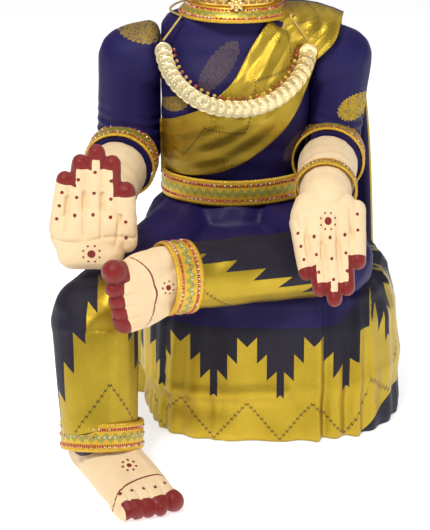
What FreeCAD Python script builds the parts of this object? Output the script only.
"""Seated cloth festival doll in a draped sari, on a boxed plywood seat.

Millimetres, +Z up, +X towards the doll's left side, -Y towards its front. The origin is on the
floor, under the spine post's axis. Right and left in the names are the doll's own.
"""

import FreeCAD, Part
import math
import os
from FreeCAD import Matrix, Placement, Rotation, Vector as V

# ---------------------------------------------------------------- driving dimensions
PLY = 9.0  # plywood thickness of the seat's sides
BOARD = 12.0  # thickness of the base board and the seat board
SEAT_W, SEAT_D, SEAT_H = 190.0, 160.0, 162.0  # seat box, outside
SEAT_X, SEAT_Y = 35.0, -15.0  # centre of the seat box
POST_R = 9.0  # wooden spine post
POST_TOP = 540.0
RUN = 0.06  # radial clearance of a running fit
GAP = 0.4  # gap between neighbouring soft parts on different bodies
SKIN = 0.25  # gap between soft parts that lie on each other

NECK_Z = 440.0  # where the torso ends and the neck starts
# Torso stations: height, half width, half depth, middle in Y
TORSO = [
    (238, 74, 50, 0),
    (262, 72, 48, 0),
    (295, 75, 55, -4),
    (335, 78, 65, -8),
    (375, 80, 61, -6),
    (405, 80, 52, -2),
    (424, 77, 46, 0),
    (440, 64, 45, 0),
]
PELVIS = [(163, 98, 66, -2), (200, 104, 71, -6), (237.5, 76, 53, 0)]

SHOULDER_Z, SHOULDER_R = 390.0, 40.0
ARM_IN, ARM_OUT = 81.5, 148.0  # the arm's inner face and its outermost point, in X
DISC_R, DISC_T = 24.0, 4.0  # fibre discs of the shoulder joints
BOLT_R = 4.0
YOKE_H, YOKE_D = 22.0, 20.0  # wooden cross bar at the shoulders
SLEEVE_R, SLEEVE_BORE = 37.5, 31.0
FOREARM_R = 30.5

RIGHT_ELBOW, RIGHT_WRIST = V(-119, 6, 287), V(-146, -160, 252)
LEFT_ELBOW, LEFT_WRIST = V(105, 4, 289), V(92, -136, 273)
HEM_AT = 48.0  # sleeve hem, from the elbow along the forearm
HEM_W, HEM_T = 22.0, 2.6  # gold lace on the hem

RIGHT_HIP, RIGHT_KNEE = V(-50, -20, 201), V(-140, -196, 165.5)
RIGHT_ANKLE = V(-138, -230, 42)
LEFT_HIP, LEFT_KNEE = V(46, -20, 208), V(110, -92, 203)
LEFT_ANKLE = V(-70, -198, 206)
THIGH_R, KNEE_R, RIGHT_ANKLE_R = 42.0, 41.0, 38.0
LEFT_THIGH_R, LEFT_KNEE_R, LEFT_ANKLE_R = 41.0, 38.0, 34.0

NECK_R = 46.0
HEAD = V(0, -8, 572)  # centre of the head
HEAD_A, HEAD_B, HEAD_C = 78.0, 84.0, 97.0
# Hair stations: height, half width, half depth, middle in Y
HAIR = [
    (447, 70, 58, 16),
    (475, 82, 76, 12),
    (520, 88, 92, 4),
    (572, 88, 94, -2),
    (625, 78, 84, -4),
    (662, 48, 52, -4),
    (674, 16, 18, -4),
]

COIN_R, COIN_T, COIN_COUNT = 9.2, 0.8, 27
NECKLACE_Z, NECKLACE_A, NECKLACE_B = 412.0, 77.0, 61.0  # ellipse that the coins hang on
COIN_STAND = 4.0  # coin centres from the draped chest
PIVOT = V(58, -41, 441)  # where the necklace cord bends over the collar (left one)
CORD_R = 1.2

DRAPE_T = 2.2  # thickness given to draped cloth
BELT_LOW, BELT_HIGH, BELT_T = 239.0, 268.0, 3.0


# ---------------------------------------------------------------- helpers
def ring(cx, cy, z, a, b, power=2.0, count=28):
    """Closed smooth outline of a superellipse at height z."""
    points = []
    for i in range(count):
        t = 2 * math.pi * i / count
        c, s = math.cos(t), math.sin(t)
        x = a * math.copysign(abs(c) ** (2 / power), c)
        y = b * math.copysign(abs(s) ** (2 / power), s)
        points.append(V(cx + x, cy + y, z))
    curve = Part.BSplineCurve()
    curve.interpolate(Points=points, PeriodicFlag=True)
    return Part.Wire([curve.toShape()])


def loft(wires):
    return Part.makeLoft(wires, True, False)


def stations(rows, grow=0.0, power=2.3, cx=0.0):
    """Loft through (height, half width, half depth, middle in Y), grown outwards by grow."""
    return loft([ring(cx, cy, z, a + grow, b + grow, power) for z, a, b, cy in rows])


def turn(profile, origin, axis):
    """Solid of revolution through straight edges: profile is a list of (distance along axis, radius)."""
    points = [V(r, 0, h) for h, r in profile]
    face = Part.Face(Part.makePolygon(points + [points[0]]))
    solid = face.revolve(V(0, 0, 0), V(0, 0, 1), 360)
    solid.Placement = Placement(origin, Rotation(V(0, 0, 1), axis))
    return solid


def capsule(p0, r0, p1, r1):
    """Round-ended tapered limb: the hull of two balls."""
    axis = p1 - p0
    length = axis.Length
    lean = math.asin((r0 - r1) / length)
    s, c = math.sin(lean), math.cos(lean)
    low, high = V(r0 * c, 0, r0 * s), V(r1 * c, 0, length + r1 * s)
    half = (lean - math.pi / 2) / 2
    edges = [
        Part.Arc(V(0, 0, -r0), V(r0 * math.cos(half), 0, r0 * math.sin(half)), low).toShape(),
        Part.LineSegment(low, high).toShape(),
    ]
    half = (lean + math.pi / 2) / 2
    middle = V(r1 * math.cos(half), 0, length + r1 * math.sin(half))
    edges.append(Part.Arc(high, middle, V(0, 0, length + r1)).toShape())
    edges.append(Part.LineSegment(V(0, 0, length + r1), V(0, 0, -r0)).toShape())
    solid = Part.Face(Part.Wire(edges)).revolve(V(0, 0, 0), V(0, 0, 1), 360)
    solid.Placement = Placement(p0, Rotation(V(0, 0, 1), axis))
    return solid


def tube(p0, p1, r, bore=0.0):
    """Straight round bar, or a tube when bore is given."""
    axis = p1 - p0
    solid = Part.makeCylinder(r, axis.Length, p0, axis)
    return solid.cut(Part.makeCylinder(bore, axis.Length, p0, axis)) if bore else solid


def ellipsoid(centre, a, b, c):
    ball = Part.makeSphere(1.0)
    m = Matrix(a, 0, 0, centre.x, 0, b, 0, centre.y, 0, 0, c, centre.z)
    return ball.transformGeometry(m)


def box(x0, x1, y0, y1, z0, z1):
    return Part.makeBox(x1 - x0, y1 - y0, z1 - z0, V(x0, y0, z0))


def rounded_box(x0, x1, y0, y1, z0, z1, r):
    solid = box(x0, x1, y0, y1, z0, z1)
    upright = [e for e in solid.Edges if abs(e.tangentAt(e.FirstParameter).z) > 0.99]
    return solid.makeFillet(r, upright)


def less(solid, *others):
    for other in others:
        solid = solid.cut(other)
    return solid


def main_solid(shape):
    """The largest solid of a shape that a cut has split."""
    return max(shape.Solids, key=lambda solid: solid.Volume)


def solids_of(shape, smallest=0.5):
    """The shape's solids as one compound, without crumbs from cutting."""
    kept = [s for s in shape.Solids if s.Volume > smallest]
    return kept[0] if len(kept) == 1 else Part.makeCompound(kept)


def framed(origin, u, v):
    """Placement whose X runs along u and whose Y runs along v."""
    u, v = V(u).normalize(), V(v).normalize()
    w = u.cross(v).normalize()
    v = w.cross(u)
    m = Matrix(u.x, v.x, w.x, origin.x, u.y, v.y, w.y, origin.y, u.z, v.z, w.z, origin.z)
    return Placement(m)


def export(name, shape):
    shape = solids_of(shape)
    bad = [s for s in shape.Solids if not s.isValid() or not s.isClosed()]
    shape.exportStep(os.path.join("parts", name + ".step"))
    b = shape.BoundBox
    print(
        f"{name:24s} solids {len(shape.Solids):3d} volume {shape.Volume:11.0f}"
        f" z {b.ZMin:6.1f}..{b.ZMax:6.1f}" + ("  NOT VALID" if bad else "")
    )


# ---------------------------------------------------------------- seat
def seat():
    """Open-bottomed plywood box that the doll sits on, glued and screwed to a base board."""
    x0, x1 = SEAT_X - SEAT_W / 2, SEAT_X + SEAT_W / 2
    y0, y1 = SEAT_Y - SEAT_D / 2, SEAT_Y + SEAT_D / 2
    z0, z1 = BOARD, SEAT_H - BOARD
    base_board = rounded_box(x0, x1, y0, y1, 0, BOARD, 10)
    seat_board = rounded_box(x0, x1, y0, y1, z1, SEAT_H, 10)
    panels = {
        "seat_front_panel": box(x0 + 3, x1 - 3, y0 + 3, y0 + 3 + PLY, z0, z1),
        "seat_back_panel": box(x0 + 3, x1 - 3, y1 - 3 - PLY, y1 - 3, z0, z1),
        "seat_right_panel": box(x0 + 3, x0 + 3 + PLY, y0 + 3 + PLY, y1 - 3 - PLY, z0, z1),
        "seat_left_panel": box(x1 - 3 - PLY, x1 - 3, y0 + 3 + PLY, y1 - 3 - PLY, z0, z1),
    }
    head_r, shank_r, head_t, length = 4.0, 1.8, 2.0, 30.0
    screws = []
    for y in (y0 + 3 + PLY / 2, y1 - 3 - PLY / 2):
        for x in (x0 + 30, SEAT_X, x1 - 30):
            profile = [(0, 0), (0, head_r), (head_t, shank_r), (length, shank_r), (length, 0)]
            screws.append(turn(profile, V(x, y, SEAT_H), V(0, 0, -1)))
    screws = Part.makeCompound(screws)
    flange = turn([(0, 0), (0, 34), (6, 34), (6, 14), (20, 12), (20, 0)], V(0, 0, SEAT_H), V(0, 0, 1))
    flange_screws = []
    for i in range(4):
        a = math.radians(45 + 90 * i)
        profile = [(0, 0), (0, 3.4), (2, 1.7), (17, 1.7), (17, 0)]
        at = V(24 * math.cos(a), 24 * math.sin(a), SEAT_H + 6)
        flange_screws.append(turn(profile, at, V(0, 0, -1)))
    flange_screws = Part.makeCompound(flange_screws)
    tall = POST_TOP - SEAT_H
    profile = [(0, 0), (0, POST_R), (tall - 2, POST_R), (tall, POST_R - 2), (tall, 0)]
    post = turn(profile, V(0, 0, SEAT_H), V(0, 0, 1))
    parts = {"base_board": base_board, "seat_board": less(seat_board, screws, flange_screws)}
    parts.update({name: less(panel, screws) for name, panel in panels.items()})
    parts["seat_screws"] = screws
    parts["post_flange"] = less(flange, post, flange_screws)
    parts["flange_screws"] = flange_screws
    parts["spine_post"] = post
    return parts


# ---------------------------------------------------------------- frame inside the body
def side(solid, sign):
    """The solid as made for the doll's left (+1), or mirrored for its right (-1)."""
    return solid if sign > 0 else solid.mirror(V(0, 0, 0), V(1, 0, 0))


def yoke(parts):
    """Cross bar on the spine post that carries both shoulder joints, with its fixing screw."""
    half = ARM_IN - GAP - 2 - DISC_T
    bar = box(-half, half, -YOKE_D / 2, YOKE_D / 2, SHOULDER_Z - YOKE_H / 2, SHOULDER_Z + YOKE_H / 2)
    screw = turn(
        [(0, 0), (0, 4), (2.5, 2), (18, 2), (18, 0)], V(0, YOKE_D / 2, SHOULDER_Z), V(0, -1, 0)
    )
    bolts, body_discs, arm_discs, nuts = {}, {}, {}, {}
    for name, sign in (("left", 1), ("right", -1)):
        x_disc = ARM_IN - GAP - DISC_T
        x_arm = ARM_IN + 8
        bolt = turn(
            [(0, 0), (0, BOLT_R), (x_arm + 14 - 56, BOLT_R), (x_arm + 14 - 56, 0)],
            V(56, 0, SHOULDER_Z),
            V(1, 0, 0),
        )
        profile = [(0, BOLT_R), (0, DISC_R), (DISC_T, DISC_R), (DISC_T, BOLT_R)]
        body = turn(profile, V(x_disc, 0, SHOULDER_Z), V(1, 0, 0))
        arm = turn(
            [(0, BOLT_R + RUN), (0, DISC_R), (DISC_T, DISC_R), (DISC_T, BOLT_R + RUN)],
            V(x_arm, 0, SHOULDER_Z),
            V(1, 0, 0),
        )
        nut = turn(
            [(0, BOLT_R), (0, 8), (5, 8), (5, BOLT_R)], V(x_arm + DISC_T + 1, 0, SHOULDER_Z), V(1, 0, 0)
        )
        bolts[name], body_discs[name] = side(bolt, sign), side(body, sign)
        arm_discs[name], nuts[name] = side(arm, sign), side(nut, sign)
    for name in ("left", "right"):
        parts[name + "_shoulder_bolt"] = bolts[name]
        parts[name + "_body_disc"] = body_discs[name]
        parts[name + "_arm_disc"] = arm_discs[name]
        parts[name + "_shoulder_nut"] = nuts[name]
    parts["yoke"] = less(bar, parts["spine_post"], screw, *bolts.values())
    parts["yoke_screw"] = less(screw, parts["spine_post"])
    return parts


# ---------------------------------------------------------------- trunk
def flange_room():
    """Hollow left in the stuffing for the post's flange and its screws."""
    profile = [(-1, 0), (-1, 36), (8, 36), (22, 16), (22, 0)]
    return turn(profile, V(0, 0, SEAT_H), V(0, 0, 1))


def trunk(parts):
    """Stuffed torso and pelvis, and the padded neck."""
    inner = [parts[n] for n in ("spine_post", "yoke", "yoke_screw", "left_body_disc", "right_body_disc")]
    inner += [parts["left_shoulder_bolt"], parts["right_shoulder_bolt"]]
    torso = stations(TORSO)
    limit = ARM_IN - GAP
    torso = torso.common(box(-limit, limit, -200, 200, 0, 600))
    parts["torso"] = less(torso, *inner)
    parts["pelvis"] = less(stations(PELVIS), flange_room(), parts["spine_post"])
    profile = [(0, 0), (0, NECK_R), (60, NECK_R - 6), (64, NECK_R - 12), (64, 0)]
    neck = turn(profile, V(0, 0, NECK_Z), V(0, 0, 1))
    parts["neck"] = less(neck, parts["spine_post"], parts["torso"])
    return parts


# ---------------------------------------------------------------- arms
HAND_SCALE = 1.08  # the hand below is 120 long, heel to fingertip
# Fingers in the hand's plane: base (u, v), tip centre (u, v), base radius, tip radius. u runs to the thumb.
FINGERS = [
    ((-31, 50), (-23, 86), 9.0, 8.0),
    ((-14, 54), (-8, 102), 9.4, 8.4),
    ((3, 55), (7, 111.6), 9.6, 8.4),
    ((19, 52), (21, 101), 9.4, 8.4),
    ((33, 36), (33, 74), 10.5, 9.4),
]
PALM = (-1, 30, 39, 33, 16)  # middle u, middle v, half width, half height, half thickness


def hand(place):
    """Mitten-shaped stuffed hand: palm and fingers sewn apart."""
    u, v, a, b, t = (HAND_SCALE * n for n in PALM)
    solid = ellipsoid(V(u, v, 0), a, b, t)
    for (bu, bv), (tu, tv), r0, r1 in FINGERS:
        base, tip = V(bu, bv, 0) * HAND_SCALE, V(tu, tv, 0) * HAND_SCALE
        solid = solid.fuse(capsule(base, r0 * HAND_SCALE, tip, r1 * HAND_SCALE))
    solid.Placement = place
    return solid


def shoulder_cap(sign):
    """Top of the arm: flat towards the body, round outside, turned about the shoulder's own axis."""
    flat = ARM_OUT - 48 - ARM_IN
    points = []
    for i in range(19):
        t = math.radians(5 * i)
        points.append(V(SHOULDER_R * math.cos(t), 0, flat + 48 * math.sin(t)))
    points[-1].x = 0
    curve = Part.BSplineCurve()
    curve.interpolate(Points=points, InitialTangent=V(0, 0, 1), FinalTangent=V(-1, 0, 0))
    edges = [curve.toShape(), Part.makePolygon([points[-1], V(0, 0, 0), V(SHOULDER_R, 0, 0), points[0]])]
    solid = Part.Face(Part.Wire([edges[0]] + edges[1].Edges)).revolve(V(0, 0, 0), V(0, 0, 1), 360)
    solid.Placement = Placement(V(sign * ARM_IN, 0, SHOULDER_Z), Rotation(V(0, 0, 1), V(sign, 0, 0)))
    return solid


def arm(parts, name, sign, elbow, wrist, hand_place):
    """Stuffed upper arm in its sleeve, turning on the shoulder bolt, and a forearm that turns on a dowel."""
    along = V(wrist - elbow).normalize()
    pivot = V(sign * 116, 0, SHOULDER_Z)
    inner_side = side(box(0, ARM_IN, -150, 150, 150, 500), sign)
    upper = less(capsule(pivot, 31.5, elbow + V(0, -2, 4), 35.0), inner_side)
    room = Part.makeCylinder(200, 200, elbow + along * HEM_AT, along)
    fore_sleeve = less(capsule(elbow, 35.0, elbow + along * (HEM_AT + 30), SLEEVE_R), room, inner_side)
    sleeve = shoulder_cap(sign).fuse(upper).fuse(fore_sleeve)
    bore = Part.makeCylinder(SLEEVE_BORE, 100, elbow + along * (HEM_AT - 16), along)
    dowel = tube(elbow + along * 2, elbow + along * 118, 6.0)
    dowel_hole = Part.makeCylinder(6.0 + RUN, 60, elbow + along * 1, along)
    disc, nut, bolt = (parts[name + n] for n in ("_arm_disc", "_shoulder_nut", "_shoulder_bolt"))
    washer_room = tube(V(sign * (ARM_IN + 6), 0, SHOULDER_Z), V(sign * (ARM_IN + 26), 0, SHOULDER_Z), 10)
    bolt_hole = tube(V(sign * ARM_IN, 0, SHOULDER_Z), V(sign * (ARM_IN + 30), 0, SHOULDER_Z), BOLT_R + RUN)
    sleeve = less(sleeve, bore, dowel_hole, disc, washer_room, bolt_hole)
    band = tube(elbow + along * (HEM_AT - HEM_W), elbow + along * HEM_AT, SLEEVE_R + HEM_T)
    full_sleeve = tube(elbow + along * (HEM_AT - 40), elbow + along * (HEM_AT + 1), SLEEVE_R + SKIN - 0.2)
    band = less(band, full_sleeve, sleeve, bore, upper, inner_side)
    bulge = capsule(elbow + along * (HEM_AT + 12), FOREARM_R + 3, wrist, 27.0)
    bulge = bulge.common(Part.makeCylinder(60, 300, elbow + along * (HEM_AT + 0.6), along))
    forearm = bulge.fuse(tube(elbow + along * (HEM_AT - 15), elbow + along * (HEM_AT + 4), FOREARM_R))
    hand_solid = less(hand(hand_place), forearm, dowel)
    parts[name + "_sleeve"] = sleeve
    parts[name + "_sleeve_band"] = band
    parts[name + "_forearm"] = less(forearm, dowel)
    parts[name + "_hand"] = hand_solid
    parts[name + "_dowel"] = dowel
    return parts


def arms(parts):
    right_hand = framed(V(-147, -184, 215), V(1, 0, 0), V(0, -0.05, 1))
    left_hand = framed(V(92, -134, 283), V(1, 0, 0), V(0, -0.617, -0.787))
    parts = arm(parts, "right", -1, RIGHT_ELBOW, RIGHT_WRIST, right_hand)
    parts = arm(parts, "left", 1, LEFT_ELBOW, LEFT_WRIST, left_hand)
    along = V(LEFT_WRIST - LEFT_ELBOW).normalize()
    at = LEFT_ELBOW + along * 112
    bangle = tube(at, at + along * 15, 33.5, 30.2)
    parts["left_bangle"] = less(bangle, parts["left_forearm"], parts["left_hand"])
    return parts


# ---------------------------------------------------------------- legs
# Foot stations along its length: distance from the heel, half width, half height
RIGHT_FOOT = [
    (-4, 16, 14),
    (14, 28, 24),
    (50, 32, 25),
    (90, 34, 19),
    (122, 34, 15),
    (142, 27, 12),
    (150, 14, 7),
]
LEFT_FOOT = [
    (-8, 16, 12),
    (6, 30, 21),
    (32, 38, 22),
    (60, 42, 19),
    (84, 42, 15),
    (98, 34, 12),
    (104, 20, 7),
]


def foot(rows, place, flat):
    """Stuffed foot, heel to toes along its own Z, sole towards its own -Y when flat."""
    wires = [ring(0, h if flat else 0, z, a, h, 2.4) for z, a, h in rows]
    solid = loft(wires)
    solid.Placement = place
    return solid


def legs(parts):
    right_thigh = capsule(RIGHT_HIP, THIGH_R, RIGHT_KNEE, KNEE_R)
    left_thigh = capsule(LEFT_HIP, LEFT_THIGH_R, LEFT_KNEE, LEFT_KNEE_R)
    right_shin = capsule(RIGHT_KNEE, KNEE_R - 0.5, RIGHT_ANKLE, RIGHT_ANKLE_R)
    left_shin = capsule(LEFT_KNEE, LEFT_KNEE_R - 2, LEFT_ANKLE, LEFT_ANKLE_R)
    seat_space = box(-300, 300, -126.5, 200, 0, SEAT_H + 1)
    heading = V(63, -104, 0).normalize()
    across = V(-heading.y, heading.x, 0)
    m = Matrix(across.x, 0, heading.x, 0, across.y, 0, heading.y, 0, 0, 1, 0, 0)
    heel = V(RIGHT_ANKLE.x, RIGHT_ANKLE.y, 0.3) - heading * 34
    right_foot = foot(RIGHT_FOOT, Placement(heel, Placement(m).Rotation), True)
    toes = V(-126, -256, 199)
    heading = V(toes - LEFT_ANKLE).normalize()
    up = V(0, 0, 1)
    normal = heading.cross(up).normalize()
    up = normal.cross(heading)
    m = Matrix(up.x, normal.x, heading.x, 0, up.y, normal.y, heading.y, 0, up.z, normal.z, heading.z, 0)
    left_foot = foot(LEFT_FOOT, Placement(LEFT_ANKLE - heading * 22, Placement(m).Rotation), False)
    trunk_parts = (parts["pelvis"], parts["torso"], parts["post_flange"], seat_space)
    parts["right_thigh"] = main_solid(less(right_thigh, *trunk_parts))
    parts["left_thigh"] = main_solid(less(left_thigh, right_thigh, *trunk_parts))
    hem_plane = box(-400, 400, -500, 200, -10, 40)
    right_leg = less(right_shin, right_thigh, hem_plane)
    parts["right_shin"] = right_leg
    parts["right_foot"] = less(right_foot, right_leg)
    parts["left_shin"] = less(left_shin, parts["left_thigh"], right_thigh)
    parts["left_foot"] = less(left_foot, left_shin, right_thigh, right_shin)
    middle = RIGHT_ANKLE + V(RIGHT_KNEE - RIGHT_ANKLE) * 0.03
    lean = V(0, 0.34, 1).normalize()
    anklet = tube(middle - lean * 15, middle + lean * 15, RIGHT_ANKLE_R + 5.5)
    parts["right_anklet"] = less(anklet, right_leg, right_foot)
    along = V(LEFT_KNEE - LEFT_ANKLE).normalize()
    band = tube(LEFT_ANKLE - along * 6, LEFT_ANKLE + along * 25, LEFT_ANKLE_R + 4.5)
    parts["left_anklet"] = less(band, left_shin, left_foot, right_thigh)
    return parts


# ---------------------------------------------------------------- cloth
def chest_drape(parts):
    """The sari's gold end, over the left shoulder and across the chest to the right waist."""
    outer = stations(TORSO, SKIN + DRAPE_T)
    band = [(33, 442), (-2, 378), (-46, 345), (-90, 328), (-90, 270)]
    band += [(-30, 271), (0, 282), (40, 310), (90, 350), (90, 442)]
    face = Part.Face(Part.makePolygon([V(x, -150, z) for x, z in band + band[:1]]))
    prism = face.extrude(V(0, 148, 0))
    limit = ARM_IN - GAP
    front = outer.common(prism).common(box(-limit, limit, -200, 0, 0, 600))
    disc_room = tube(V(60, 0, SHOULDER_Z), V(90, 0, SHOULDER_Z), DISC_R + 1)
    front = less(front, stations(TORSO, SKIN), disc_room)
    saddle = tube(V(62, 0, SHOULDER_Z), V(128, 0, SHOULDER_Z), SHOULDER_R + 4.4, SHOULDER_R + 1.4)
    saddle = less(saddle, box(0, 300, -100, 100, 300, 396), outer)
    saddle = less(saddle, parts["left_sleeve"])
    return front, saddle


def back_drape():
    """The free end of the sari, hanging from the left shoulder down the back to the floor."""
    levels = [(410, 95, 52, 46), (300, 92, 72, 62), (190, 90, 86, 112), (100, 88, 94, 122), (4, 86, 98, 124)]
    wires = []
    for z, cx, half, y in levels:
        corners = [V(cx - half, y, z), V(cx + half, y, z), V(cx + half, y + 4, z), V(cx - half, y + 4, z)]
        wires.append(Part.makePolygon(corners + corners[:1]))
    return Part.makeLoft(wires, True, True)


def skirt():
    """The sari's lower part, pleated round the seat box."""
    cx, cy = SEAT_X, -22
    rows = [(0.6, 152, 134), (60, 150, 134), (125, 144, 131), (155, 136, 124), (166, 131, 118)]
    outer = loft([ring(cx, cy, z, a, b, 2.7) for z, a, b in rows])
    rows = [(-5, 149, 131), (60, 147, 131), (123, 141, 128), (151, 133, 121), (SEAT_H + SKIN, 128, 115)]
    inside = loft([ring(cx, cy, z, a, b, 2.7) for z, a, b in rows])
    return less(outer, inside)


def cloth(parts):
    right_thigh = capsule(RIGHT_HIP, THIGH_R + 1, RIGHT_KNEE, KNEE_R + 1)
    right_shin = capsule(RIGHT_KNEE, KNEE_R + 1, RIGHT_ANKLE, RIGHT_ANKLE_R + 1)
    names = ("left_thigh", "left_shin", "pelvis")
    rooms = (flange_room(), right_thigh, right_shin)
    parts["sari_skirt"] = less(skirt(), *rooms, *(parts[n] for n in names))
    front, saddle = chest_drape(parts)
    parts["sari_chest_drape"] = front
    parts["sari_shoulder_fold"] = saddle
    parts["sari_back_drape"] = less(back_drape(), parts["sari_skirt"], saddle, parts["left_sleeve"])
    grow = SKIN + DRAPE_T
    lap = capsule(LEFT_HIP, LEFT_THIGH_R + grow, LEFT_KNEE, LEFT_KNEE_R + grow)
    shell = stations(PELVIS, grow).fuse(lap)
    inner = [stations(PELVIS, SKIN), right_thigh]
    inner.append(capsule(LEFT_HIP, LEFT_THIGH_R + SKIN, LEFT_KNEE, LEFT_KNEE_R + SKIN))
    shell = less(shell, *inner)
    belt_outer = stations([(BELT_LOW, 74, 50, 0), (BELT_HIGH, 72, 48.5, 0)], grow + BELT_T)
    belt_inner = stations(TORSO, SKIN)
    belt = less(belt_outer, belt_inner, front, parts["left_thigh"], parts["right_thigh"])
    parts["waist_belt"] = main_solid(belt)
    low = box(-400, 400, -400, 400, 0, 170)
    names = ("torso", "left_shin", "right_shin", "left_foot", "sari_skirt", "left_anklet")
    shell = less(shell, low, parts["waist_belt"], *(parts[n] for n in names))
    parts["sari_lap"] = main_solid(shell)
    collar = turn([(0, 0), (0, 62), (3, 62), (17, 51), (17, 0)], V(0, 0, NECK_Z - 3), V(0, 0, 1))
    neck_room = Part.makeCylinder(NECK_R + SKIN, 60, V(0, 0, NECK_Z - 10))
    collar = less(collar, neck_room, parts["torso"], front, saddle)
    parts["collar_band"] = collar
    return parts


# ---------------------------------------------------------------- jewellery
def surface_y(x, z):
    """Front of the draped chest at (x, z)."""
    for low, high in zip(TORSO, TORSO[1:]):
        if low[0] <= z <= high[0]:
            t = (z - low[0]) / (high[0] - low[0])
            a, b, cy = (low[k] + t * (high[k] - low[k]) for k in (1, 2, 3))
            a, b = a + SKIN + DRAPE_T, b + SKIN + DRAPE_T
            share = min(0.96, abs(x) / a)
            return cy - b * (1 - share**2.3) ** (1 / 2.3)
    return -40.0


def coins(parts):
    """Coin necklace: overlapping embossed coins on a curve across the chest, each with a bead above it."""
    discs, beads = [], []
    reach = math.radians(84)
    for i in range(COIN_COUNT):
        a = -reach + 2 * reach * i / (COIN_COUNT - 1)
        x, z = NECKLACE_A * math.sin(a), NECKLACE_Z - NECKLACE_B * math.cos(a)
        out = V(math.sin(a) / NECKLACE_A, 0, -math.cos(a) / NECKLACE_B).normalize()
        y = min(surface_y(x + dx, z + dz) for dx in (-9, 0, 9) for dz in (-9, 0, 9)) - COIN_STAND
        if x > 50 and z > SHOULDER_Z - 20:
            y = min(y, -SHOULDER_R - 7.5)
        side_way = V(0, 1, 0).cross(out).normalize()
        lean = math.radians(12)
        normal = (V(0, -1, 0) * math.cos(lean) + side_way * math.sin(lean)).normalize()
        centre = V(x, y, z)
        discs.append(Part.makeCylinder(COIN_R, COIN_T, centre - normal * COIN_T / 2, normal))
        beads.append(Part.makeSphere(2.0, centre - out * (COIN_R + 2.4)))
    parts["necklace_coins"] = Part.makeCompound(discs)
    parts["necklace_beads"] = Part.makeCompound(beads)
    return discs


def rounded_path(points, radius_share=0.45):
    """Straight runs joined by tangent arcs, each as large as its two runs allow."""
    edges, start, radii = [], points[0], []
    for i in range(1, len(points) - 1):
        before, here, after = points[i - 1], points[i], points[i + 1]
        a, b = (before - here), (after - here)
        reach = radius_share * min(a.Length, b.Length)
        a.normalize()
        b.normalize()
        turned = math.pi - a.getAngle(b)
        radius = reach / math.tan(turned / 2)
        first, last = here + a * reach, here + b * reach
        bisector = (a + b).normalize()
        centre = here + bisector * math.hypot(radius, reach)
        middle = centre - bisector * radius
        edges.append(Part.LineSegment(start, first).toShape())
        edges.append(Part.Arc(first, middle, last).toShape())
        radii.append(radius)
        start = last
    edges.append(Part.LineSegment(start, points[-1]).toShape())
    return Part.Wire(edges), radii


# Back cord of the necklace, from the right bend over the collar round behind the neck to the left one
BACK_CORD = [
    (-58, -39, 442.5),
    (-66, -22, 442),
    (-71, 0, 441),
    (-69, 22, 441),
    (-60, 42, 442),
    (-44, 57, 442.5),
    (-22, 66, 443),
    (2, 69, 443),
    (26, 65, 443),
    (47, 56, 442.5),
    (62, 40, 442),
    (70, 20, 441),
    (71, -2, 441),
    (66, -23, 442),
    (58, -39, 442.5),
]


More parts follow.
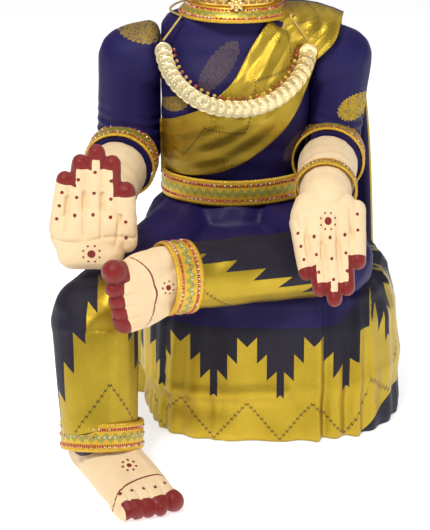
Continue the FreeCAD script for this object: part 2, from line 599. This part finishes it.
def necklace(parts):
    """Coins, the two front cords that carry them, and the cord round the back of the neck."""
    discs = coins(parts)
    fronts = []
    for sign, disc in ((-1, discs[0]), (1, discs[-1])):
        top = disc.CenterOfMass + V(0, -0.2, COIN_R + 4.4)
        bend = V(sign * PIVOT.x, PIVOT.y - 1.5, PIVOT.z + 0.8)
        fronts.append(tube(top, bend, CORD_R))
    parts["necklace_front_cords"] = less(Part.makeCompound(fronts), parts["necklace_beads"])
    path, radii = rounded_path([V(*p) for p in BACK_CORD])
    print("back cord: length", round(path.Length, 1), "radii", [round(r, 1) for r in radii])
    start = path.Edges[0]
    at, heading = (f(start.FirstParameter) for f in (start.valueAt, start.tangentAt))
    profile = Part.Wire([Part.Circle(at, heading, CORD_R).toShape()])
    sweep = path.makePipeShell([profile], True, True)
    expected = math.pi * CORD_R**2 * path.Length
    print("back cord: volume", round(sweep.Volume, 1), "should be", round(expected, 1))
    parts["necklace_back_cord"] = sweep
    for name in ("necklace_beads", "necklace_coins"):
        parts[name] = less(parts[name], parts["necklace_front_cords"])
    choker = turn([(0, 49), (0, 55), (22, 54), (22, 49)], V(0, 0, 453.5), V(0, 0, 1))
    parts["choker"] = less(choker, parts["collar_band"], parts["neck"])
    pendant = turn([(0, 0), (0, 9), (2, 10), (5, 6), (5, 0)], V(0, -55.2, 459), V(0, -1, 0))
    parts["choker_pendant"] = less(pendant, parts["choker"])
    return parts


# ---------------------------------------------------------------- head
def head(parts):
    """Stuffed head that turns on the spine post, with rolled hair, a bun and ear drops."""
    neck_room = Part.makeCylinder(NECK_R + GAP, 66, V(0, 0, NECK_Z))
    post_hole = Part.makeCylinder(POST_R + RUN, 200, V(0, 0, NECK_Z))
    bush = tube(V(0, 0, 505), V(0, 0, POST_TOP + 6), 16.0)
    bush = less(bush, Part.makeCylinder(POST_R + RUN, POST_TOP - 505 + 1, V(0, 0, 505)))
    skull = ellipsoid(HEAD, HEAD_A, HEAD_B, HEAD_C)
    nose = ellipsoid(HEAD + V(0, -HEAD_B + 2, -14), 9, 10, 14)
    skull = skull.fuse(nose)
    skull = less(skull, neck_room, Part.makeCylinder(16, POST_TOP + 6 - 504, V(0, 0, 504)), post_hole)
    hair = stations(HAIR, 0, 2.0)
    face_room = ellipsoid(V(0, -100, 556), 62, 92, 80)
    throat = box(-200, 200, -200, -6, 400, 512)
    profile = [(0, 0), (0, 64.5), (16, 64.5), (36, 60), (60, 52), (60, 0)]
    neck_clear = turn(profile, V(0, 0, NECK_Z), V(0, 0, 1))
    hair = less(hair, ellipsoid(HEAD, HEAD_A, HEAD_B, HEAD_C), nose, face_room)
    hair = less(hair, throat, neck_clear, neck_room)
    bun = ellipsoid(V(0, 104, 530), 42, 30, 38)
    parts["head"] = skull
    parts["head_bush"] = bush
    parts["hair"] = hair
    parts["hair_bun"] = less(bun, hair)
    studs = []
    for sign in (-1, 1):
        drop = turn([(0, 0), (0, 7), (6, 5), (12, 2), (12, 0)], V(sign * 74, -44, 512), V(0, 0, 1))
        studs.append(less(drop, hair, skull))
    parts["ear_drops"] = Part.makeCompound(studs)
    return parts


def main():
    os.makedirs("parts", exist_ok=True)
    parts = yoke(seat())
    parts = legs(arms(trunk(parts)))
    parts = head(necklace(cloth(parts)))
    for name, shape in sorted(parts.items()):
        export(name, shape)


main()
